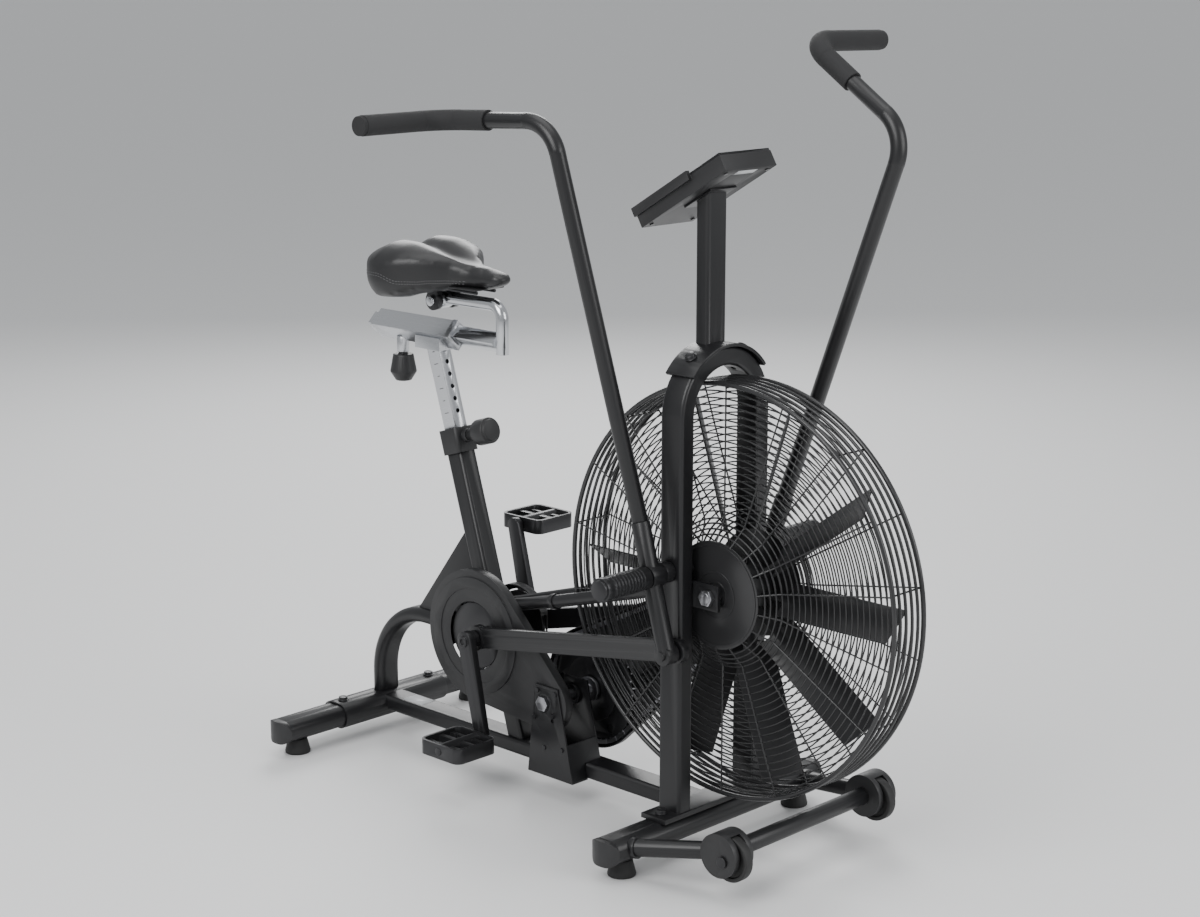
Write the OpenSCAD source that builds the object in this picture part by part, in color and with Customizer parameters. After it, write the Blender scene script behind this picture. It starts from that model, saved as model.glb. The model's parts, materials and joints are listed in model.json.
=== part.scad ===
// Air bike: chain driven fan, moving arm levers, adjustable saddle.
// Frame: +X forward (rider faces +X), +Y rider's left, +Z up, floor at z = 0.
// Units: millimetres. Levers and crank are drawn at one end of the arm stroke.

/* [Base] */
// Distance of the front stabiliser from the origin
front_x = 226; // [200:1:250]
// Distance of the rear stabiliser from the origin
rear_x = -584; // [-620:1:-540]
// Half length of the stabiliser tubes
stab_half = 247; // [220:1:280]
// Stabiliser tube width
stab_w = 60; // [50:1:70]
// Stabiliser tube height
stab_h = 40; // [30:1:45]
// Height of the stabiliser centre line
stab_z = 48; // [44:1:52]
// Tube wall thickness
wall = 2.5; // [1.5:0.1:4]
// Half distance between the levelling feet
foot_y = 212; // [190:1:225]

/* [Fan and cage] */
// Fan axis along the bike
fan_x = 280; // [260:1:300]
// Fan axis height
fan_z = 435; // [420:1:450]
// Radius of the cage rim wire centre
cage_r = 333; // [320:1:345]
// Half width of the cage between its outer rings
cage_h = 36; // [34:1:40]
// Radius of the hub plate
hub_plate_r = 87; // [80:1:95]
// Tip radius of the fan blades
fan_r = 312; // [300:1:318]
// Number of fan blades
blades = 10; // [8:1:12]

/* [U frame and mast] */
// Half distance between the upright centre lines
leg_y = 89; // [85:1:95]
// Upright tube depth along the bike
leg_d = 46; // [38:1:50]
// Upright tube width across the bike
leg_w = 30; // [25:1:32]
// Height where the arch starts
arch_z = 714; // [700:1:730]
// Mast position along the bike
mast_x = 213; // [205:1:225]

/* [Crank drive] */
// Bottom bracket axis along the bike
bb_x = -275; // [-290:1:-260]
// Bottom bracket axis height
bb_z = 251; // [240:1:270]
// Offset of the crank pin that drives the arm link
pin_e = 36.6; // [30:0.1:40]
// Direction of the right crank pin
pin_a = 14.9; // [0:0.1:30]
// Length of the crank arm from pin to pedal
arm_l = 169; // [160:1:175]
// Direction of the right crank arm
arm_a = -77.2; // [-90:0.1:-60]
// Jackshaft axis along the bike
jack_x = -101; // [-110:1:-90]
// Jackshaft axis height
jack_z = 169; // [160:1:180]
// Chain pitch
pitch = 12.7; // [12.7:0.1:15.9]

/* [Arm levers] */
// Lever pivot axis along the bike
piv_x = 222; // [215:1:230]
// Lever pivot axis height
piv_z = 471.6; // [460:0.1:485]
// Lever centre line from the middle plane
lev_y = 140; // [136:1:145]
// Arm stroke from one end to the other
stroke = 35.3; // [30:0.1:38]
// Handlebar tube radius
bar_r = 13; // [12:0.5:16]
// Grip radius
grip_r = 16.5; // [15:0.5:19]

/* [Seat] */
// Lean of the seat tube from the vertical
lean = 17.1; // [15:0.1:20]
// Seat post top along its axis from the bottom bracket
post_top = 500; // [420:1:600]
// Height of the seat sleeve axis
sleeve_z = 762; // [740:1:780]

/* [Hidden] */
$fn = 96;
top_z = stab_z + stab_h / 2;
leg_x = front_x;
ring48 = pitch / (2 * sin(180 / 48));
ring16 = pitch / (2 * sin(180 / 16));
ring14 = pitch / (2 * sin(180 / 14));
pin_x = pin_e * cos(pin_a);
pin_z = pin_e * sin(pin_a);
arm_x = arm_l * cos(arm_a);
arm_z = arm_l * sin(arm_a);
black = [0.06, 0.06, 0.065];
dark = [0.12, 0.12, 0.125];
steel = [0.62, 0.63, 0.65];
alu = [0.82, 0.83, 0.85];
rubber = [0.03, 0.03, 0.03];
// Corner points of the handlebar in the lever's own frame, y outwards
b_low = [31, 0, -121];
b_one = [-198, 22.7, 691];
b_two = [-437.7, 34.4, 681];
b_end = [-432, 202, 681];

// ---------- shared shapes ----------

// Flat oval section, a along x and b along y
module oval(a, b) {
  square([a - b, b], center = true);
  translate([(a - b) / 2, 0]) circle(d = b);
  translate([-(a - b) / 2, 0]) circle(d = b);
}

// Rectangle with round corners
module soft(a, b, r) {
  square([a - 2 * r, b], center = true);
  square([a, b - 2 * r], center = true);
  for (i = [-1, 1])
    for (j = [-1, 1])
      translate([i * (a / 2 - r), j * (b / 2 - r)]) circle(r = r);
}

module oval_ring(a, b, t) {
  difference() {
    oval(a, b);
    oval(a - 2 * t, b - 2 * t);
  }
}

module soft_ring(a, b, r, t) {
  difference() {
    soft(a, b, r);
    soft(a - 2 * t, b - 2 * t, r - t);
  }
}

module disc_ring(r, t) {
  difference() {
    circle(r = r);
    circle(r = r - t);
  }
}

// Extrude a side view (x, z) between two y positions
module side(y0, y1) {
  translate([0, y1, 0]) rotate([90, 0, 0]) linear_extrude(y1 - y0) children();
}

// Extrude a section along y, centred
module along_y(l) {
  rotate([90, 0, 0]) linear_extrude(l, center = true) children();
}

// Cylinder along y from y0 to y1 at (x, z)
module shaft(x, z, r, y0, y1) {
  translate([x, y1, z]) rotate([90, 0, 0]) cylinder(r = r, h = y1 - y0);
}

// Section swept straight from p to q
module run(p, q) {
  v = q - p;
  l = norm(v);
  translate(p)
    rotate([0, acos(v[2] / l), atan2(v[1], v[0])])
      linear_extrude(l) children();
}

// Round tube bend at q between p and s with bend radius br
module bend(p, q, s, br, r, t) {
  d1 = (q - p) / norm(q - p);
  d2 = (s - q) / norm(s - q);
  a = acos(d1 * d2);
  n = cross(d1, d2) / norm(cross(d1, d2));
  c = q + (d2 - d1) / norm(d2 - d1) * br / cos(a / 2);
  u = (q - d1 * br * tan(a / 2) - c) / br;
  multmatrix([[u[0], d1[0], n[0], c[0]],
              [u[1], d1[1], n[1], c[1]],
              [u[2], d1[2], n[2], c[2]],
              [0, 0, 0, 1]])
    rotate_extrude(angle = a)
      translate([br, 0]) disc_ring(r, t);
}

function cut(p, q, s, br) =
  let (d1 = (q - p) / norm(q - p), d2 = (s - q) / norm(s - q))
    br * tan(acos(d1 * d2) / 2);
function toward(a, b, l) = a + (b - a) / norm(b - a) * l;

// Belt shape around two circles, in the side view
module belt(x1, z1, r1, x2, z2, r2) {
  d = norm([x2 - x1, z2 - z1]);
  f = atan2(z2 - z1, x2 - x1);
  b = acos((r1 - r2) / d);
  translate([x1, z1]) circle(r = r1);
  translate([x2, z2]) circle(r = r2);
  e1 = r1 - 0.03;
  e2 = r2 - 0.03;
  polygon([
    [x1 + e1 * cos(f + b), z1 + e1 * sin(f + b)],
    [x2 + e2 * cos(f + b), z2 + e2 * sin(f + b)],
    [x2 + e2 * cos(f - b), z2 + e2 * sin(f - b)],
    [x1 + e1 * cos(f - b), z1 + e1 * sin(f - b)]
  ]);
}

module loop(x1, z1, r1, x2, z2, r2, t) {
  difference() {
    belt(x1, z1, r1 + t, x2, z2, r2 + t);
    belt(x1, z1, r1 - t + 0.3, x2, z2, r2 - t + 0.3);
  }
}

module both() {
  children();
  mirror([0, 1, 0]) children();
}

// Dome head screw pointing down from z = 0
module dome_bolt(l) {
  translate([0, 0, 1.5]) cylinder(r = 8, h = 5);
  cylinder(r = 10, h = 1.5);
  translate([0, 0, -l]) cylinder(r = 4.9, h = l + 0.5);
}

// Place the seat tube's own frame at the bottom bracket
module on_seat_tube() {
  translate([bb_x, 0, bb_z]) rotate([0, -lean, 0]) children();
}

// Lever frame; s is -1 on the right, 1 on the left
module lever_frame(s, a) {
  translate([piv_x, s * lev_y, piv_z]) rotate([0, a, 0]) children();
}

// Tilted console frame, screen facing up and back
module console_frame() {
  translate([199, 0, 1060.5]) rotate([0, -30.4, 0]) children();
}

// ---------- base ----------

module front_stabiliser() {
  color(black)
  difference() {
    translate([front_x, 0, stab_z]) along_y(2 * stab_half) oval_ring(stab_w, stab_h, wall);
    for (s = [-1, 1]) {
      translate([front_x, s * foot_y, 20]) cylinder(r = 4.1, h = 20);
      translate([front_x, s * 121, 60]) cylinder(r = 5, h = 20);
    }
  }
}

module rear_stabiliser() {
  color(black)
  difference() {
    translate([rear_x, 0, stab_z]) along_y(2 * stab_half) oval_ring(stab_w, stab_h, wall);
    for (s = [-1, 1]) {
      translate([rear_x, s * foot_y, 20]) cylinder(r = 4.1, h = 20);
      translate([rear_x, s * 104, 60]) cylinder(r = 5, h = 20);
    }
  }
}

module end_cap(x) {
  translate([x, 0, 0])
  union() {
    translate([0, -stab_half + 8.8, stab_z]) along_y(18.4) oval(stab_w - 5.4, stab_h - 5.4);
    intersection() {
      translate([0, -stab_half - 10.1, stab_z]) along_y(20) oval(stab_w + 1, stab_h + 1);
      translate([0, -stab_half + 23, 0]) cylinder(r = 38, h = 90);
    }
  }
}

module end_caps() {
  color(rubber) {
    both() end_cap(front_x);
    both() end_cap(rear_x);
  }
}

module foot(x, y) {
  translate([x, y, 0]) {
    cylinder(r1 = 22.6, r2 = 23, h = 4);
    translate([0, 0, 4]) cylinder(r1 = 23, r2 = 17, h = 23.6);
    translate([0, 0, 25]) cylinder(r = 4, h = 18);
  }
}

module rubber_feet() {
  color(rubber)
  both() {
    foot(front_x, foot_y);
    foot(rear_x, foot_y);
  }
}

module frame_bolts() {
  color(dark)
  both() {
    translate([rear_x, 104, top_z + 3.8]) dome_bolt(18);
    translate([front_x, 121, top_z + 8.4]) dome_bolt(18);
    translate([leg_x, 0, arch_z]) rotate([-33, 0, 0]) translate([0, 0, leg_y + leg_w / 2 + 5.5]) dome_bolt(22);
    // axles of the transport wheels
    shaft(424, 73, 5, 162, 200);
    shaft(424, 73, 9, 199.2, 203);
  }
}

module base_tube() {
  color(black)
  union() {
    // cross sleeve round the rear stabiliser
    difference() {
      translate([rear_x, 0, stab_z]) along_y(246) oval(stab_w + 7.4, stab_h + 7.4);
      translate([rear_x, 0, stab_z]) along_y(260) oval(stab_w + 0.4, stab_h + 0.4);
      for (s = [-1, 1])
        translate([rear_x, s * 104, 60]) cylinder(r = 5, h = 20);
    }
    // spine to the front stabiliser
    difference() {
      translate([rear_x + 20, 0, 54]) rotate([90, 0, 90]) linear_extrude(front_x - rear_x - 26)
        soft_ring(50, 28, 7, wall);
      translate([rear_x, 0, stab_z]) along_y(260) oval(stab_w + 6, stab_h + 6);
      translate([front_x, 0, stab_z]) along_y(260) oval(stab_w + 0.4, stab_h + 0.4);
    }
  }
}

module rear_arch() {
  color(black) {
    difference() {
      union() {
        translate([rear_x, 0, 60]) rotate([0, 0, 90]) linear_extrude(50) oval_ring(50, 28, wall);
        translate([rear_x + 130, 0, 110]) rotate([90, 0, 180]) rotate_extrude(angle = 90)
          translate([130, 0]) rotate([0, 0, 90]) oval_ring(50, 28, wall);
        translate([rear_x + 130, 0, 240]) rotate([90, 0, 90]) linear_extrude(160)
          oval_ring(50, 28, wall);
      }
      translate([rear_x, 0, stab_z]) along_y(260) oval(stab_w + 7.8, stab_h + 7.8);
      shaft(bb_x, bb_z, 30.3, -60, 60);
    }
    // gusset between the arch and the seat tube
    side(-13, 13)
      polygon([[-472, 253], [-306.8, 253], [-306.2, 284], [-346.8, 416]]);
  }
}

module seat_tube() {
  color(black)
  difference() {
    union() {
      on_seat_tube() translate([0, 0, -200]) linear_extrude(555) soft_ring(38, 38, 7, wall);
      shaft(bb_x, bb_z, 30, -34, 34);
    }
    shaft(bb_x, bb_z, 17.5, -40, 40);
    translate([-400, -60, -20]) cube([400, 120, 88.3]);
    on_seat_tube() translate([10, 0, 343.6]) rotate([0, 90, 0]) cylinder(r = 5.2, h = 20);
  }
}

module seat_collar() {
  color(dark)
  difference() {
    union() {
      on_seat_tube() translate([0, 0, 317]) linear_extrude(44) soft(47, 47, 8);
      on_seat_tube() translate([20, 0, 343.6]) rotate([0, 90, 0]) cylinder(r = 12, h = 13);
    }
    on_seat_tube() translate([0, 0, 310]) linear_extrude(45.2) soft(38.4, 38.4, 7);
    on_seat_tube() translate([0, 0, 350]) linear_extrude(20) soft(30.6, 30.6, 4);
    on_seat_tube() translate([10, 0, 343.6]) rotate([0, 90, 0]) cylinder(r = 5.2, h = 40);
  }
}

// ---------- upright frame ----------

module leg_solid() {
  translate([leg_x, leg_y, 0]) linear_extrude(900) soft(leg_d, leg_w, 6);
}

module fan_stays() {
  color(black)
  both()
  difference() {
    union() {
      run([-286, 6, 291], [-90, 44, 347]) circle(r = 11);
      run([-90, 44, 347], [215, 90.6, 440.3]) circle(r = 11);
      run([-96, 42.8, 345.3], [-84, 44.9, 348.8]) circle(r = 13.5);
      translate([-90, 44, 347]) sphere(r = 11);
    }
    on_seat_tube() translate([0, 0, -100]) linear_extrude(400) soft(38.4, 38.4, 7);
    leg_solid();
  }
}

module u_frame() {
  color(black)
  difference() {
    union() {
      for (s = [-1, 1])
        translate([leg_x, s * leg_y, top_z + 8]) linear_extrude(arch_z - top_z - 8)
          soft_ring(leg_d, leg_w, 6, wall);
      translate([leg_x, 0, arch_z]) rotate([90, 0, 90]) rotate_extrude(angle = 180)
        translate([leg_y, 0]) soft_ring(leg_w, leg_d, 6, wall);
      // foot flange
      translate([leg_x - 26, -140, top_z + 0.2]) cube([52, 280, 8]);
      // plates that carry the fan axle
      for (s = [-1, 1])
        translate([leg_x - 8, s * 72 - 3, fan_z - 21]) cube([fan_x + 20 - leg_x + 8, 6, 42]);
    }
    for (s = [-1, 1]) {
      translate([leg_x, s * 121, 60]) cylinder(r = 5, h = 30);
      rotate([0, 0, 0]) shaft(piv_x, piv_z, 10.1, s * leg_y - 20, s * leg_y + 20);
      shaft(fan_x, fan_z, 8.6, s * 72 - 8, s * 72 + 8);
      translate([leg_x, 0, arch_z]) rotate([s * 33, 0, 0]) translate([0, 0, 70])
        cylinder(r = 5, h = 60);
    }
  }
}

module mast() {
  color(black)
  difference() {
    union() {
      // arched plate over the top of the frame
      translate([leg_x, 0, arch_z]) rotate([90, 0, 90]) rotate([0, 0, 38])
        rotate_extrude(angle = 104) translate([leg_y + leg_w / 2 + 2.8, 0]) square([5, 58], center = true);
      difference() {
        translate([mast_x, 0, 800]) linear_extrude(260) soft_ring(27, 46, 7, wall);
        translate([leg_x, 0, arch_z]) rotate([0, 90, 0]) cylinder(r = leg_y + leg_w / 2 + 3, h = 120, center = true);
        console_frame() translate([-150, -100, -18.2]) cube([400, 200, 200]);
      }
      console_frame() translate([-28, -30, -18.2]) cube([62, 60, 3]);
    }
    for (s = [-1, 1])
      translate([leg_x, 0, arch_z]) rotate([s * 33, 0, 0]) translate([0, 0, 90])
        cylinder(r = 5, h = 30);
  }
}

// ---------- console ----------

module console_body() {
  color(dark)
  console_frame()
  difference() {
    union() {
      translate([-100, -59, -15]) cube([200, 118, 26]);
      // side ledges
      translate([-100, -66, 4]) cube([132, 8, 15]);
      translate([-100, 58, 4]) cube([132, 8, 15]);
    }
    translate([-96, -55, -11]) cube([192, 110, 40]);
    translate([18, -27, -16]) cube([60, 54, 2.2]);
    translate([24, -21, -16]) cube([48, 42, 6]);
  }
}

module console_bezel() {
  color(black)
  console_frame()
  difference() {
    union() {
      translate([-99, -57.8, 11.2]) cube([198, 115.6, 4]);
      translate([-95.5, -54.5, 7]) cube([191, 109, 4.3]);
    }
    translate([-30, -42, 5]) cube([104, 84, 20]);
    translate([-92, -51, 5]) cube([184, 102, 3.8]);
    for (y = [-32, 0, 32])
      translate([-62, y, 5]) cylinder(r = 9.3, h = 20);
  }
}

module display_window() {
  color([0.2, 0.24, 0.24])
  console_frame() translate([-29.8, -41.8, 11.4]) cube([103.6, 83.6, 2.6]);
}

module battery_door() {
  color(dark)
  console_frame() translate([18.3, -26.7, -15]) cube([59.4, 53.4, 1.1]);
}

module button(y) {
  console_frame() translate([-62, y, 9.2]) cylinder(r = 8.9, h = 8);
}

module start_button() {
  color([0.1, 0.35, 0.12]) button(-32);
}

module mode_button() {
  color(steel) button(0);
}

module stop_button() {
  color([0.45, 0.06, 0.05]) button(32);
}

// ---------- transport wheels ----------

module transport_bar() {
  color(black)
  difference() {
    union() {
      both() {
        run([front_x + 20, 213, 51], [400, 177, 79]) disc_ring(14, 2);
        run([front_x + 24, 212.2, 51.6], [front_x + 34, 210.2, 53.2]) difference() {
          circle(r = 17);
          circle(r = 13.5);
        }
      }
      translate([414, 0, 80]) along_y(312) disc_ring(14, 2);
    }
    translate([front_x, 0, stab_z]) along_y(480) oval(stab_w + 0.4, stab_h + 0.4);
    both() shaft(414, 80, 35.2, 155, 205);
  }
}

module wheel_housings() {
  color(rubber)
  both()
  difference() {
    shaft(414, 80, 35, 155.5, 199);
    // slot for the wheel, open forwards and down
    shaft(424, 73, 38.4, 166, 188);
    side(166, 188) polygon([[424, 111.4], [470, 111.4], [470, 20], [385.6, 20], [385.6, 73]]);
    shaft(424, 73, 5.05, 160, 205);
  }
}

module wheel(s) {
  difference() {
    union() {
      shaft(424, 73, 36, -8, 8);
      shaft(424, 73, 14, -9.6, 9.6);
    }
    shaft(424, 73, 5.06, -20, 20);
    shaft(424, 73, 29, 5, 12);
    shaft(424, 73, 29, -12, -5);
  }
  difference() {
    shaft(424, 73, 14, -9.6, 9.6);
    shaft(424, 73, 5.06, -20, 20);
  }
}

module right_wheel() {
  color(rubber) translate([0, -177, 0]) wheel();
}

module left_wheel() {
  color(rubber) translate([0, 177, 0]) wheel();
}

// ---------- lever pivots and pegs ----------

module pivot_axles() {
  color(steel)
  both() {
    shaft(piv_x, piv_z, 10, 58.6, 175);
    shaft(piv_x, piv_z, 5, 174, 204);
    // inner nut and washer
    difference() {
      translate([piv_x, 73.8, piv_z]) rotate([90, 0, 0]) cylinder(r = 18, h = 12, $fn = 6);
      shaft(piv_x, piv_z, 9, 40, 90);
    }
    difference() {
      shaft(piv_x, piv_z, 17, leg_y + leg_w / 2 + 0.2, lev_y - 15.4);
      shaft(piv_x, piv_z, 9, 90, 140);
    }
  }
}

module foot_pegs() {
  color(dark)
  both()
  difference() {
    union() {
      shaft(piv_x, piv_z, 14, lev_y + 17.2, 160);
      shaft(piv_x, piv_z, 18.4, 158, 246);
      for (i = [0 : 9])
        shaft(piv_x, piv_z, 19, 172 + i * 7, 175 + i * 7);
      shaft(piv_x, piv_z, 19, 245, 256);
      shaft(piv_x, piv_z, 16, 255, 260);
    }
    shaft(piv_x, piv_z, 10.05, 150, 175.3);
    shaft(piv_x, piv_z, 5.05, 170, 205);
  }
}

// ---------- chain covers ----------

module right_chain_cover() {
  color(dark)
  difference() {
    union() {
      side(-58.6, -42) belt(bb_x, bb_z, 117, jack_x, jack_z, 50);
      side(-61.5, -58) translate([bb_x, bb_z]) circle(r = 104);
    }
    side(-56.4, -40) belt(bb_x, bb_z, 114.5, jack_x, jack_z, 47.5);
    side(-59.5, -55) translate([bb_x, bb_z]) circle(r = 101.5);
    side(-63, -60) translate([bb_x, bb_z]) circle(r = 84);
    side(-70, -40) translate([bb_x, bb_z]) circle(r = 61);
    side(-70, -40) translate([jack_x, jack_z]) circle(r = 19);
  }
}

module left_crank_cover() {
  color(dark)
  difference() {
    side(40, 57) translate([bb_x, bb_z]) circle(r = 72);
    side(35, 54.5) translate([bb_x, bb_z]) circle(r = 69.5);
    side(40, 60) translate([bb_x, bb_z]) circle(r = 61);
    side(35, 60) translate([bb_x + 64, bb_z - 90]) square([40, 180]);
  }
}

module left_chain_guard() {
  color(rubber)
  difference() {
    side(55.6, 68) belt(jack_x, jack_z, 107, fan_x, fan_z, 38);
    side(50, 66.4) belt(jack_x, jack_z, 104.8, fan_x, fan_z, 36);
    shaft(jack_x, jack_z, 14, 60, 80);
    shaft(fan_x, fan_z, 20, 60, 80);
  }
}

module jackshaft_bracket() {
  color(black)
  difference() {
    union() {
      side(-62, -59) polygon([[-140, 40], [-32, 40], [-68, 200], [-122, 200]]);
      side(9, 12) polygon([[-140, 68.4], [-38.4, 68.4], [-68, 200], [-122, 200]]);
      // front wall and foot, folded in under the covers
      side(-60, 12) polygon([[-32, 40], [-46.6, 105], [-49.7, 105], [-35.1, 40]]);
      side(-60, -25.4) polygon([[-140, 40], [-32, 40], [-32, 43], [-140, 43]]);
    }
    translate([-200, -25.3, 30]) cube([300, 60, 38.3]);
    shaft(jack_x, jack_z, 17.5, -80, 40);
    for (p = [[-116, 190], [-74, 190], [-80, 142], [-124, 140]])
      shaft(p[0], p[1], 4, -80, -40);
  }
}

module bearing(y0, y1, x, z) {
  difference() {
    shaft(x, z, 17.4, y0, y1);
    shaft(x, z, 10.05, y0 - 1, y1 + 1);
  }
}

module bearings() {
  color(steel) {
    bearing(-33.5, -23.5, bb_x, bb_z);
    bearing(23.5, 33.5, bb_x, bb_z);
    bearing(-61.8, -55, jack_x, jack_z);
    bearing(5, 15, jack_x, jack_z);
  }
}

module primary_chain() {
  color(steel)
  side(-50.5, -43.5) loop(bb_x, bb_z, ring48, jack_x, jack_z, ring16, 4);
}

module secondary_chain() {
  color(steel)
  side(58.5, 65.5) loop(jack_x, jack_z, ring48, fan_x, fan_z, ring14, 4);
}

// ---------- fan and cage ----------

module hoop(r, y, w) {
  translate([fan_x, y, fan_z]) rotate([90, 0, 0]) rotate_extrude() translate([r, 0]) circle(r = w);
}

// The wires lie side by side, welded where they cross
module cage_half(plate_y, hole) {
  hoop(cage_r, cage_h, 3);
  hoop(cage_r, 21.6, 2.2);
  hoop(cage_r, 7.4, 2.2);
  for (i = [1 : 7])
    hoop(cage_r - i * 30, cage_h, 1.6);
  for (i = [0 : 15])
    translate([fan_x, 0, fan_z]) rotate([0, i * 22.5 + 11.25, 0])
      translate([119, cage_h + 3.3, 0]) rotate([0, 90, 0])
        cylinder(r = 1.6, h = cage_r - 122.5);
  // ties across the rim
  for (i = [0 : 7])
    translate([fan_x, 0, fan_z]) rotate([0, i * 45 + 11.25, 0])
      translate([cage_r - 5, cage_h, 0]) rotate([90, 0, 0]) cylinder(r = 1.8, h = cage_h - 5.4);
  // hub plate and the wires stepped out to it
  difference() {
    union() {
      shaft(fan_x, fan_z, hub_plate_r, plate_y, plate_y + 2);
      for (i = [0 : 15])
        translate([fan_x, 0, fan_z]) rotate([0, i * 22.5 + 11.25, 0])
          run([118.6, cage_h + 3.4, 0], [84, plate_y + 1, 0]) circle(r = 1.5);
    }
    shaft(fan_x, fan_z, hole, plate_y - 10, plate_y + 10);
  }
}

module right_cage() {
  color(black) mirror([0, 1, 0]) cage_half(56, 8.7);
}

module left_cage() {
  color(black) cage_half(46, 24);
}

module fan_axle() {
  color(steel) {
    shaft(fan_x, fan_z, 8.5, -84, 84);
    for (y = [-75.2, 83.2])
      difference() {
        translate([fan_x, y, fan_z]) rotate([90, 0, 0]) cylinder(r = 14, h = 8, $fn = 6);
        shaft(fan_x, fan_z, 8, y - 20, y + 20);
      }
    for (y = [-58.6, -47.6])
      difference() {
        translate([fan_x, y, fan_z]) rotate([90, 0, 0]) cylinder(r = 14, h = 8, $fn = 6);
        shaft(fan_x, fan_z, 8, y - 20, y + 20);
      }
  }
}

module fan_wheel() {
  color(black)
  difference() {
    union() {
      shaft(fan_x, fan_z, 46, -26, 26);
      shaft(fan_x, fan_z, 15, -30, 66.5);
      for (i = [0 : blades - 1])
        translate([fan_x, 0, fan_z]) rotate([0, i * 360 / blades, 0]) {
          translate([40, 0, 0]) rotate([38, 0, 0]) translate([0, -6, -1.5]) cube([80, 12, 3]);
          translate([96, 0, 0]) rotate([38, 0, 0]) translate([0, -33, -1.2])
            cube([fan_r - 100, 66, 2.4]);
        }
    }
    shaft(fan_x, fan_z, 8.56, -40, 80);
    shaft(fan_x, fan_z, 38, -40, -22);
    shaft(fan_x, fan_z, 38, 22, 27);
    difference() {
      shaft(fan_x, fan_z, 60, 26.5, 80);
      shaft(fan_x, fan_z, 15, 20, 90);
    }
  }
  color(black)
  difference() {
    shaft(fan_x, fan_z, 15, -26, 60);
    shaft(fan_x, fan_z, 8.56, -40, 80);
  }
}

module fan_sprocket() {
  color(steel)
  difference() {
    shaft(fan_x, fan_z, ring14 - 4.2, 60.5, 63.5);
    shaft(fan_x, fan_z, 15.05, 50, 80);
  }
}

// ---------- drive train ----------

module jackshaft() {
  color(steel)
  union() {
    shaft(jack_x, jack_z, 10, -66, 70);
    translate([jack_x, -62.2, jack_z]) rotate([90, 0, 0]) cylinder(r = 14, h = 6, $fn = 6);
    shaft(jack_x, jack_z, ring16 - 4.2, -48.5, -45.5);
    shaft(jack_x, jack_z, 18, -45.5, -34);
    shaft(jack_x, jack_z, 22, 46, 52);
    shaft(jack_x, jack_z, 16, 52, 60.4);
  }
}

module drive_sprocket() {
  color(black)
  difference() {
    union() {
      shaft(jack_x, jack_z, ring48 - 4.2, 60.5, 63.5);
      shaft(jack_x, jack_z, 58, 54, 61);
    }
    shaft(jack_x, jack_z, 16.1, 50, 60.45);
    shaft(jack_x, jack_z, 10.02, 50, 80);
    for (i = [0 : 5])
      translate([jack_x, 62, jack_z]) rotate([0, i * 60, 0]) translate([77, 0, 0])
        rotate([90, 0, 0]) cylinder(r = 9, h = 10, center = true);
  }
}

module crank_axle() {
  color(steel) shaft(bb_x, bb_z, 10, -49.4, 49.4);
}

module chainring() {
  color(steel)
  difference() {
    shaft(bb_x, bb_z, ring48 - 4.2, -48.5, -45.5);
    shaft(bb_x, bb_z, 10.02, -60, -40);
    for (i = [0 : 4])
      translate([bb_x, -47, bb_z]) rotate([0, i * 72, 0]) translate([72, 0, 0])
        rotate([90, 0, 0]) cylinder(r = 13, h = 10, center = true);
  }
}

// Crank for the left side at the right crank's phase, pin disc at y = 49.6
module crank_side() {
  difference() {
    union() {
      shaft(bb_x, bb_z, 58.5, 49.6, 56.6);
      shaft(bb_x + pin_x, bb_z + pin_z, 11, 56, 105);
      shaft(bb_x + pin_x, bb_z + pin_z, 15, 56, 73);
      shaft(bb_x + pin_x, bb_z + pin_z, 15, 93, 105);
      // arm
      side(104, 117) belt(bb_x + pin_x, bb_z + pin_z, 17,
        bb_x + pin_x + arm_x, bb_z + pin_z + arm_z, 13);
      // pedal spindle
      shaft(bb_x + pin_x + arm_x, bb_z + pin_z + arm_z, 11, 116, 120);
      shaft(bb_x + pin_x + arm_x, bb_z + pin_z + arm_z, 7, 116, 214);
      // arm bolt
      shaft(bb_x + pin_x, bb_z + pin_z, 10, 116, 121);
    }
    shaft(bb_x + pin_x, bb_z + pin_z, 5, 118, 130);
  }
}

module right_crank() {
  color(dark) mirror([0, 1, 0]) crank_side();
}

module left_crank() {
  color(dark)
  translate([bb_x, 0, bb_z]) rotate([0, 180, 0]) translate([-bb_x, 0, -bb_z]) crank_side();
}

module pedal(x, z, s) {
  translate([x, s * 167, z])
  difference() {
    union() {
      // barrel
      shaft(0, 0, 12, -46, 46);
      difference() {
        translate([0, 0, -13]) linear_extrude(26) soft(98, 92, 14);
        translate([0, 0, -20]) linear_extrude(40) soft(88, 82, 10);
      }
      translate([-46, -5, -9]) cube([92, 10, 18]);
      for (y = [-30, 22])
        translate([-46, y, -7]) cube([92, 8, 14]);
    }
    shaft(0, 0, 7.06, -60, 60);
    for (y = [-17, 17])
      translate([-30, y, 0]) cylinder(r = 7, h = 60, center = true);
  }
}

module right_pedal() {
  color(steel) pedal(bb_x + pin_x + arm_x, bb_z + pin_z + arm_z, -1);
}

module left_pedal() {
  color(steel) pedal(bb_x - pin_x - arm_x, bb_z - pin_z - arm_z, 1);
}

// Link from the crank pin to the foot of the lever
module link(p, q) {
  difference() {
    union() {
      shaft(p[0], p[2], 21.5, p[1] - 8, p[1] + 8);
      run(toward(p, q, 4), toward(q, p, 3)) square([35, 11], center = true);
      shaft(q[0], q[2], 19, q[1] - 7, q[1] + 7);
    }
    shaft(p[0], p[2], 11.06, p[1] - 20, p[1] + 20);
    shaft(q[0], q[2], 8, q[1] - 20, q[1] + 20);
  }
}

module right_link() {
  color(black)
  link([bb_x + pin_x, -83, bb_z + pin_z], [piv_x + b_low[0], -115.5, piv_z + b_low[2]]);
}

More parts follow.
